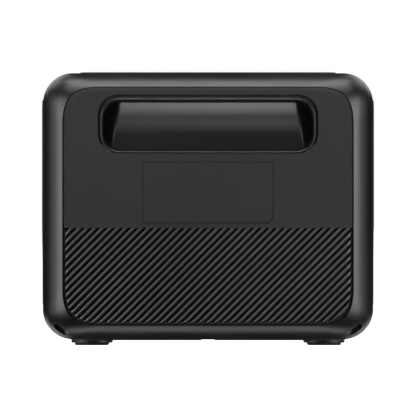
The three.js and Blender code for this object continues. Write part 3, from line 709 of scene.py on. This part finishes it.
def grip_outline(extra, steps=16):
    grip = Place("rear_grip_cup")
    width = grip.size.x + 2 * extra
    height = LIP["high"] - LIP["low"] + 2 * extra
    corner = (GRIP_CORNER[0] + extra, GRIP_CORNER[1])
    return corner_box(width, height, corner, steps, 0, (LIP["low"] + LIP["high"]) / 2)


def rear_panel():
    """The rear panel: plain above, ribbed below, with holes for the grip and the label."""
    low, high = PANEL.low.z, RIB_TOP
    loops = [panel_outline(0), grip_outline(0.1), label_outline(0.5)]
    lines = panel_edge_lines() + rib_lines(PANEL.size.x - 1, low, high) + field_borders(PANEL.size.x)

    def depth(px, pz):
        return panel_roll(px, pz) + rib_depth(px, pz, low, high, panel_inset(px, pz))

    return relief(loops, lines, depth, level(PANEL.size.y), on_rear)


def rating_label():
    steps = [(0.25, 0.0), (0.06, 0.08), (0.0, 0.25), (0.0, 1.2)]
    rings = [[on_rear(x, z, depth + 0.05) for x, z in label_outline(-inset)] for inset, depth in steps]
    return capped_rings(rings)


# ------------------------------------------------------------------ carrying grip
MOUTH_CORNER = 17.0
LIP_BACK = 10.5
CHANNEL_DEPTH = 17.0


def lip_depth(x, z, share, depth):
    """The lip's depth: deeper at the back by the channels, with a softer shoulder below."""
    channel_start, channel_fade = 84.0, 8.0
    shoulder_rise, shoulder_fade = 7.0, 5.0
    if depth == LIP_BACK:
        end = min(max((abs(x) - channel_start) / channel_fade, 0.0), 1.0)
        return depth + (CHANNEL_DEPTH - 0.5) * end
    low = min(max((MOUTH["low"] + shoulder_rise - z) / shoulder_fade, 0.0), 1.0)
    if share < 0.45:
        return depth * (1 - 0.85 * low)
    if share < 0.66:
        return depth
    return 0.5 + (depth - 0.5) * (1 - 0.92 * low)


def grip_loop(width, low, high, reach):
    """A closed outline of the grip's kind, between two heights."""
    return corner_box(width, high - low, (reach, GRIP_CORNER[1]), 22, 0, (low + high) / 2)


def grip_lip(place):
    """The rounded lip: it rolls in from the panel, runs along a narrow ledge, then turns inwards."""
    outer = (LIP["width"], LIP["low"], LIP["high"], GRIP_CORNER[0])
    inner = (MOUTH["width"], MOUTH["low"], MOUTH["high"], MOUTH_CORNER)
    back = (MOUTH["width"] + 5, MOUTH["low"] - 2.5, MOUTH["high"] + 2.5, 19.0)
    shoulder = 4.2
    shape = [
        (0.0, 4.0), (0.06, 2.6), (0.3, 2.5), (0.38, 2.4), (0.41, 2.0), (0.45, 1.2), (0.51, 0.7),
        (0.58, 0.48), (0.65, 0.5), (0.71, 0.8), (0.76, 1.5), (0.81, 2.6), (0.87, 4.4), (0.94, 6.6),
        (1.0, 8.6), (1.0, LIP_BACK),
    ]
    rings = []
    for share, depth in shape:
        loop = grip_loop(*(a + share * (b - a) for a, b in zip(outer, inner)))
        rings.append([place(x, z, lip_depth(x, z, share, depth)) for x, z in loop])
    for depth in (LIP_BACK, shoulder):
        rings.append([place(x, z, lip_depth(x, z, 1.0, depth)) for x, z in grip_loop(*back)])
    rings.append([place(x, z, shoulder) for x, z in grip_loop(*outer)])
    return closed_rings(rings)


def ramp_depth(pz):
    """Depth of the middle of the ramp: upright below, then curving back behind the lip."""
    bend, radius = 199.0, 46.0
    rise = np.clip((pz - bend) / radius, 0, 0.8)
    curve = radius * (1 - np.sqrt(1 - rise * rise))
    beyond = np.clip(pz - bend - 0.8 * radius, 0, None) * 1.2
    return 8.4 + curve + beyond


def bowl_depth(px, pz):
    """The ramp, with a deep channel past each end of it that gets wider upwards."""
    channel = 7.0 + 0.16 * (pz - MOUTH["low"])
    past_end = np.clip(channel + 2.5 - (MOUTH["width"] / 2 - np.abs(px)), 0, None)
    drop = np.where(past_end < 5.0, 0.13 * past_end ** 2, 1.3 * (past_end - 2.5))
    return ramp_depth(pz) + np.minimum(drop, CHANNEL_DEPTH)


def grip_bowl(place, rows=40, columns=24):
    """The bowl behind the lip: the ramp, its end channels, and the finger space above the mouth."""
    wall, margin, end_span = 2.4, 0.2, 20.0
    width, low, high = MOUTH["width"] + 1.6, MOUTH["low"] - 0.8, MOUTH["low"] + 56.8
    reach = MOUTH_CORNER + 0.8
    lines = []
    for k in range(1, rows):
        z = low + k * (high - low) / rows
        lines.append([(-width / 2 + margin, z), (width / 2 - margin, z)])
    for k in range(columns):
        x = width / 2 - 2 * margin - end_span * k / (columns - 1)
        for side in (1, -1):
            lines.append([(side * x, low + margin), (side * x, high - margin)])
    for inset in (0.8, 1.0, 1.6, 2.6, 4.0, 6.0, 9.0):
        ring = grip_loop(width - 2 * inset, low + inset, high - inset, reach - inset)
        lines.append(closed_line(ring))
    outline = grip_loop(width, low, high, reach)
    return relief([outline], lines, bowl_depth, lambda x, z: bowl_depth(x, z) + wall, place)


def build_grip(node, place):
    build(node, merge_parts(grip_lip(place), grip_bowl(place)), sharp=50)


# ------------------------------------------------------------------ covers
def cover_depths():
    return [(1.0, 0.0), (0.45, 0.1), (0.12, 0.4), (0.0, 0.9), (0.0, TOP.size.z)]


def build_covers():
    """The top cover, and the base plate with its groove."""
    groove_width, past_plate = 13, 260
    top = rounded_slab(on_top, TOP.size.x, TOP.size.y, COVER_CORNER, cover_depths(), steps=16)
    build("top_cover", top)
    base = rounded_slab(on_base, BASE.size.x, BASE.size.y, COVER_CORNER, cover_depths(), steps=16)
    plate = build("base_plate", base)
    groove_edge = [(0.0, -3.0), (0.0, 0.45), (0.3, 0.7)]
    groove = rounded_slab(on_base, groove_width, past_plate, (1, 2.0), groove_edge)
    cut_away(plate, cutter_piece("groove_cutter", groove))


def vent_panel(place):
    """A side panel with the same ribs in its lower band, and air slots in the grooves."""
    width, height = SIDE.size.y, SIDE.size.z
    low, high = SIDE.low.z, RIB_TOP
    window = {"low": 44.0, "high": 106.0, "half": 50.0}

    def outline(inset):
        corner = (COVER_CORNER[0] - inset, COVER_CORNER[1])
        return corner_box(width - 2 * inset, height - 2 * inset, corner, 16, 0, SIDE.mid.z)

    def depth(px, pz):
        inset = inset_of(px, pz, width, height, COVER_CORNER, 0, SIDE.mid.z)
        edge = np.clip(1 - inset, 0, 1)
        return 0.9 * edge ** 2.5 + rib_depth(px, pz, low, high, inset)

    lines = [closed_line(outline(inset)) for inset in (0.12, 0.45, 1.0, 2.5, 3.0, 3.5)]
    lines += rib_lines(width - 1, low, high) + field_borders(width)
    loops = [outline(0), *air_slots(low, **window)]
    return relief(loops, lines, depth, level(SIDE.size.x), place)


def air_slots(base, low, high, half):
    """Long slots along the middle of each groove, cut short at the edges of the fan's window."""
    slots = []
    reach = int((half + high - base) / (RIB_PITCH * math.sqrt(2))) + 1
    for k in range(-reach, reach + 1):
        shift = ((k + 0.5) * RIB_PITCH + RIB_CREST) * math.sqrt(2)
        start = max(-half, shift + low - base)
        stop = min(half, shift + high - base)
        if stop - start > 8:
            slots.append(slanted_slot(start, start - shift + base, stop - start))
    return slots


def slanted_slot(x, z, run):
    """A slot with round ends that rises to the right at 45 degrees."""
    radius = 0.62
    points = []
    for centre, start in ((run, -45), (0.0, 135)):
        for k in range(7):
            angle = math.radians(start + 180 * k / 6)
            points.append((x + centre + radius * math.cos(angle), z + centre + radius * math.sin(angle)))
    return points


# ------------------------------------------------------------------ feet
def foot_rim(base):
    """The foot's hard rim, from the base plate down round its outer edge."""
    radius, high, low = base.size.x / 2, base.high.z, base.low.z
    return [
        (radius - 2, BASE.low.z), (radius, high), (radius, low + 0.7), (radius - 0.2, low + 0.2),
        (radius - 0.7, low), (13, low),
    ]


def foot_sole(base, pad):
    """The rubber pad, with two round grooves in its tread."""
    radius, groove = pad.size.x / 2, 0.45
    sole = [
        (radius - 1, base.low.z + 0.3), (radius, base.low.z - 0.1), (radius, 0.9),
        (radius - 0.25, 0.35), (radius - 0.9, 0.0),
    ]
    for start in (3, 7):
        inner = radius - start
        sole += [(inner, 0.0), (inner - 0.3, groove), (inner - 1.3, groove), (inner - 1.6, 0.0)]
    return sole + [(1, 0.0)]


def build_feet():
    for number in range(1, 5):
        base = Place(f"foot_base_{number}")
        pad = Place(f"foot_pad_{number}")
        build(f"foot_base_{number}", turned(foot_rim(base), on_floor, base.mid.x, base.mid.y, 72))
        sole = foot_sole(base, pad)
        build(f"foot_pad_{number}", turned(sole, on_floor, pad.mid.x, pad.mid.y, 72), sharp=50)


# ------------------------------------------------------------------ control side
def face_of(node):
    """Middle of a control-side node as (x to the viewer's right, z)."""
    place = Place(node)
    return -place.mid.x, place.mid.z


def rect_hole(node, extra, reach=3.0, steps=6):
    place = Place(node)
    x, z = face_of(node)
    size = (place.size.x + 2 * extra, place.size.z + 2 * extra)
    return corner_box(*size, (reach + extra, 2.0), steps, x, z)


BUTTON_NAMES = ("dc_button", "power_button", "ac_button", "reset_button")
BUTTON_FLANGE = 1.5  # how far a button's flange reaches past its cap, behind the panel
CAP_RADIUS = 17.5
PULL_TAB_EDGE = [(0.8, -0.75), (0.3, -0.6), (0.0, -0.2), (0.0, 0.6)]


def cap_outline(extra, steps=40):
    """The round rubber cap with its hinge tab on top."""
    cap = Place("car_socket_cap")
    x = -cap.mid.x
    z = cap.low.z + CAP_RADIUS
    radius = CAP_RADIUS + extra
    half = 6 + extra
    top = cap.high.z + extra
    start = math.acos(half / radius)
    points = [(x + half, top - 0.6), (x + half - 0.6, top), (x - half + 0.6, top), (x - half, top - 0.6)]
    sweep = 2 * math.pi - (math.pi - 2 * start)
    for k in range(steps + 1):
        angle = math.pi - start + sweep * k / steps
        points.append((x + radius * math.cos(angle), z + radius * math.sin(angle)))
    return points


def front_panel():
    """The control panel: a plain plate with a hole for each control, and the floors under the covers."""
    holes = [grip_outline(0.1), rect_hole("display_lens", GAP, 6.0), rect_hole("input_cover", GAP, 5.0)]
    holes.append(cap_outline(GAP))
    for name in BUTTON_NAMES:
        x, z = face_of(name)
        holes.append(circle(Place(name).size.x / 2 - BUTTON_FLANGE + GAP, 40, x, z))
    for number in (1, 2):
        holes.append(rect_hole(f"ac_outlet_{number}", GAP, 4.0))
        holes.append(rect_hole(f"usb_a_port_{number}", GAP, 1.0, 3))
        holes.append(rect_hole(f"usb_c_port_{number}", GAP, 2.2, 5))
    loops = [panel_outline(0), *holes]
    plate = relief(loops, panel_edge_lines(), panel_roll, level(PANEL.size.y), on_front)
    return merge_parts(plate, *recess_floors())


def recess_floors():
    """The floors that the two rubber covers close on, with the sockets' openings in them."""
    front, lap = 2.5, 0.02
    cover_loops = [rect_hole("input_cover", GAP - lap, 5.0), rect_hole("ac_inlet", GAP)]
    x, z = face_of("dc_inlet")
    cover_loops.append(circle(Place("dc_inlet").size.x / 2 + GAP, 40, x, z))
    x, z = face_of("car_socket")
    cap_loops = [cap_outline(GAP - lap), circle(Place("car_socket").size.x / 2 + GAP, 48, x, z)]
    floors = (cover_loops, cap_loops)
    return [relief(loops, [], level(front), level(PANEL.size.y), on_front) for loops in floors]


def build_buttons():
    """Round push buttons: a dished cap on a stem with a flange behind the panel."""
    flange_front, length = 4.3, 5.9
    for name in BUTTON_NAMES:
        x, z = face_of(name)
        radius = Place(name).size.x / 2 - BUTTON_FLANGE
        front = FACE - Place(name).high.y
        back = front + length
        profile = [
            (0.2, front + 0.45), (radius * 0.5, front + 0.38), (radius - 1.6, front + 0.12),
            (radius - 1.0, front), (radius - 0.35, front + 0.12), (radius, front + 0.6),
            (radius, flange_front), (radius + BUTTON_FLANGE, flange_front),
            (radius + BUTTON_FLANGE, back), (0.5, back),
        ]
        build(name, turned(profile, on_front, x, z, 64), body=name, sharp=50)


def port_shell(node, mouth, corner, steps):
    """A metal port: a rounded shell with its mouth cut in, closed at the back."""
    place = Place(node)
    x, z = face_of(node)
    front = FACE - place.high.y
    back = FACE - place.low.y
    width, height = place.size.x, place.size.z
    mouth_width, mouth_height, mouth_corner = mouth
    sizes = [
        (width, height, corner, back),
        (width, height, corner, front + 0.4),
        (width - 0.4, height - 0.4, corner - 0.2, front + 0.05),
        (mouth_width + 0.5, mouth_height + 0.5, mouth_corner, front),
        (*mouth, front + 0.4),
        (*mouth, back - 2),
    ]
    rings = []
    for w, h, reach, depth in sizes:
        loop = corner_box(w, h, (reach, 2.0), steps, x, z)
        rings.append([on_front(px, pz, depth) for px, pz in loop])
    return capped_rings(rings)


def build_usb():
    """Two USB-A and two USB-C ports: a metal shell round a contact tongue."""
    # For each kind: mouth (width, height, corner), shell corner, tongue (width, height, rise).
    kinds = {
        "a": ((12.5, 5.1, 0.5), 1.0, (11.0, 1.9, 1.2)),
        "c": ((8.9, 3.2, 1.55), 2.2, (6.6, 0.7, 0.0)),
    }
    tongue_edge = [(0.15, 1.6), (0.0, 1.9), (0.0, 14.0)]
    for number in (1, 2):
        for kind, (mouth, corner, (width, height, rise)) in kinds.items():
            node = f"usb_{kind}_port_{number}"
            x, z = face_of(node)
            shell = port_shell(node, mouth, corner, 6)
            tongue = rounded_slab(on_front, width, height, (0.3, 2.0), tongue_edge, x, z + rise, 3)
            build(node, merge_parts(shell, tongue), sharp=40)


def outlet_face(node):
    """A three-pin outlet: a shallow dished face with its slots."""
    reach, dish_start, dish_depth = 4.0, 3.2, 1.2
    slot_width, slot_aside, slot_rise, earth_radius, earth_drop = 2.4, 6.35, 3.0, 2.6, 7.5
    place = Place(node)
    x, z = face_of(node)
    width, height = place.size.x, place.size.z

    def outline(inset):
        corner = (max(reach - inset, 0.8), 2.0)
        return corner_box(width - 2 * inset, height - 2 * inset, corner, 8, x, z)

    def depth(px, pz):
        inset = inset_of(px, pz, width, height, (reach, 2.0), x, z)
        dish = np.clip(inset - dish_start, 0, 1)
        return 0.5 * np.clip(1 - inset / 0.7, 0, 1) ** 2 + dish_depth * dish * dish * (3 - 2 * dish)

    loops = [outline(0)]
    for side, tall in ((-1, 9.0), (1, 7.5)):
        loops.append(corner_box(slot_width, tall, (0.5, 2.0), 3, x + side * slot_aside, z + slot_rise))
    loops.append(circle(earth_radius, 24, x, z - earth_drop))
    lines = [closed_line(outline(inset)) for inset in (0.25, 0.7, 3.2, 3.6, 4.2)]
    return relief(loops, lines, depth, level(place.size.y * 0.7), on_front)


def car_socket():
    """A round metal 12 V socket with a contact stud on its floor."""
    place = Place("car_socket")
    x, z = face_of("car_socket")
    front, back = FACE - place.high.y, FACE - place.low.y
    radius, bore, stud = place.size.x / 2, 10.5, 3.5
    floor, tip = back - 2.5, back - 4.5
    profile = [
        (0.3, back), (radius - 1, back), (radius, back - 1), (radius, front + 0.5), (radius - 0.5, front),
        (bore + 0.5, front), (bore, front + 0.5), (bore, floor),
        (stud, floor), (stud, tip + 0.5), (stud - 0.5, tip), (0.3, tip),
    ]
    return turned(profile, on_front, x, z, 64)


def pull_tab(width, height, reach, x, z):
    """A small raised tab to lift a rubber cover by."""
    return rounded_slab(on_front, width, height, (reach, 2.0), PULL_TAB_EDGE, x, z, 6)


def socket_cap():
    """The rubber cap over the car socket: a lid, a plug behind it and a pull tab."""
    rings = []
    for inset, depth in ((1.6, 0.15), (0.9, 0.0), (0.4, 0.12), (0.1, 0.4), (0.0, 0.8), (0.0, 2.2)):
        rings.append([on_front(x, z, depth) for x, z in cap_outline(-inset)])
    lid = capped_rings(rings)
    x, z = face_of("car_socket")
    plug = turned([(8.5, 2.0), (8.5, 4.2), (8.1, 4.6), (0.4, 4.6)], on_front, x, z, 48)
    return merge_parts(lid, plug, pull_tab(12, 3, 1.4, x, z - CAP_RADIUS + 5.0))


def input_cover():
    """The rubber cover over the two inlets, with its pull tab."""
    place = Place("input_cover")
    x, z = face_of("input_cover")
    depths = [(1.8, 0.15), (1.1, 0.0), (0.5, 0.12), (0.12, 0.4), (0.0, 0.9), (0.0, 2.2)]
    lid = rounded_slab(on_front, place.size.x, place.size.z, (5.0, 2.0), depths, x, z, 10)
    return merge_parts(lid, pull_tab(22, 2.6, 1.2, x, place.low.z + 4.0))


def display_lens():
    place = Place("display_lens")
    x, z = face_of("display_lens")
    depths = [(0.8, 0.0), (0.35, 0.06), (0.08, 0.3), (0.0, 0.6), (0.0, 2.0)]
    return rounded_slab(on_front, place.size.x, place.size.z, (6.0, 2.0), depths, x, z, 12)


def build_controls():
    build("front_panel", front_panel(), look="plain_panel")
    build("display_lens", display_lens())
    build_buttons()
    build_usb()
    for number in (1, 2):
        build(f"ac_outlet_{number}", outlet_face(f"ac_outlet_{number}"))
    build("car_socket", car_socket())
    build("car_socket_cap", socket_cap(), body="car_socket_cap", sharp=45)
    build("input_cover", input_cover(), body="input_cover", sharp=45)


def dress_cad_nodes():
    """Gives every CAD node that still shows its own material, with the corner screws blackened."""
    for name, obj in NODES.items():
        look = "blackened_steel" if name.startswith("corner_screw") else SLOT_OF[name]
        obj.data.materials.clear()
        obj.data.materials.append(MATERIALS[look])


# ------------------------------------------------------------------ stage, lights and camera
def build_stage():
    """A plain pale floor and sky that show to the camera but add no light to the object."""
    half, drop = 6.0, 0.0002
    corners = [(-half, -half, 0), (half, -half, 0), (half, half, 0), (-half, half, 0)]
    mesh = bpy.data.meshes.new("floor")
    mesh.from_pydata(corners, [], [(0, 1, 2, 3)])
    floor = bpy.data.objects.new("floor", mesh)
    scene.collection.objects.link(floor)
    floor.location.z = -drop
    pale = Shader("pale_floor", (0.8, 0.8, 0.8), 0.9)
    pale.surface.inputs["Emission Color"].default_value = (1, 1, 1, 1)
    pale.surface.inputs["Emission Strength"].default_value = 1.0
    mesh.materials.append(pale.material)
    floor.visible_glossy = False
    floor.visible_diffuse = False
    floor.visible_shadow = False
    world = bpy.data.worlds.new("studio")
    scene.world = world
    world.use_nodes = True
    sky = world.node_tree.nodes["Background"]
    sky.inputs["Color"].default_value = (1, 1, 1, 1)
    sky.inputs["Strength"].default_value = 1.0
    world.cycles_visibility.glossy = False
    world.cycles_visibility.diffuse = False


def softbox(name, place, size, power, target=(0, 0, 0.13)):
    """A rectangular lamp in metres and watts, aimed at a point on the object."""
    data = bpy.data.lights.new(name, "AREA")
    data.shape = "RECTANGLE"
    data.size, data.size_y = size
    data.energy = power
    lamp = bpy.data.objects.new(name, data)
    scene.collection.objects.link(lamp)
    lamp.location = place
    lamp.visible_camera = False
    lamp.rotation_euler = (Vector(target) - Vector(place)).to_track_quat("-Z", "Y").to_euler()
    return lamp


def build_lights():
    """Soft boxes at both sides, above and below, dimmer ones behind, and one for the grips."""
    softbox("left_box", (-0.75, -0.45, 0.15), (0.5, 0.8), 5.5)
    softbox("right_box", (0.75, -0.45, 0.15), (0.5, 0.8), 6.3)
    softbox("left_side", (-0.9, -0.1, 0.15), (0.5, 0.8), 1.2)
    softbox("right_side", (0.9, -0.1, 0.15), (0.5, 0.8), 0.8)
    softbox("top_box", (0.0, -0.22, 0.62), (0.9, 0.22), 1.5, (0, -0.1, 0.2))
    softbox("top_side", (0.0, -0.03, 1.05), (1.1, 0.5), 6.4, (0, -0.1, 0.25))
    softbox("under_box", (0.0, 0.08, -1.4), (1.6, 0.6), 6.6)
    for level_name, y, z in (("top", 0.7, 1.4), ("low", 0.6, -1.3)):
        for side, name in ((-1, "left"), (1, "right")):
            softbox(f"back_{level_name}_{name}", (side * 1.2, y, z), (0.7, 0.7), 2)
    for side, name in ((-1, "left"), (1, "right")):
        softbox(f"rim_top_{name}", (side * 1.0, 1.6, 1.2), (1.2, 1.2), 7)
        softbox(f"rim_low_{name}", (side * 1.0, 1.6, -0.9), (1.2, 1.2), 5)
    softbox("front_high", (0.0, -2.2, 1.3), (1.6, 0.8), 9)
    light_only_grips(softbox("grip_box", (0.0, -0.5, 1.66), (0.4, 1.0), 11))


def light_only_grips(lamp):
    """Lets a lamp light only the two grips, past their lips: the floor alone may block it."""
    lit = bpy.data.collections.new("grips")
    shading = bpy.data.collections.new("grip_shading")
    for name in ("rear_grip_cup_shape", "front_grip_cup_shape"):
        lit.objects.link(bpy.data.objects[name])
    shading.objects.link(bpy.data.objects["floor"])
    lamp.data.cycles.use_multiple_importance_sampling = False
    lamp.light_linking.receiver_collection = lit
    lamp.light_linking.blocker_collection = shading


def build_camera():
    """A long lens square to the rear face, level with the middle of the picture."""
    distance, shown, eye = 15.0, 0.3924, 0.1298
    data = bpy.data.cameras.new("camera")
    camera = bpy.data.objects.new("camera", data)
    scene.collection.objects.link(camera)
    camera.location = (0.0, -FACE * MM - distance, eye)
    camera.rotation_euler = (math.pi / 2, 0, 0)
    data.sensor_width = 36.0
    data.lens = 36.0 * distance / shown
    scene.camera = camera
    scene.view_settings.view_transform = "Standard"


# ------------------------------------------------------------------ everything
build_camera()
build_frames()
build("rear_panel", rear_panel())
build("rating_label", rating_label())
build_grip("rear_grip_cup", on_rear)
build_grip("front_grip_cup", on_front)
build_covers()
build("right_vent_panel", vent_panel(on_right), look="plain_panel")
build("left_vent_panel", vent_panel(on_left), look="plain_panel")
build_feet()
build_controls()
dress_cad_nodes()
build_stage()
build_lights()
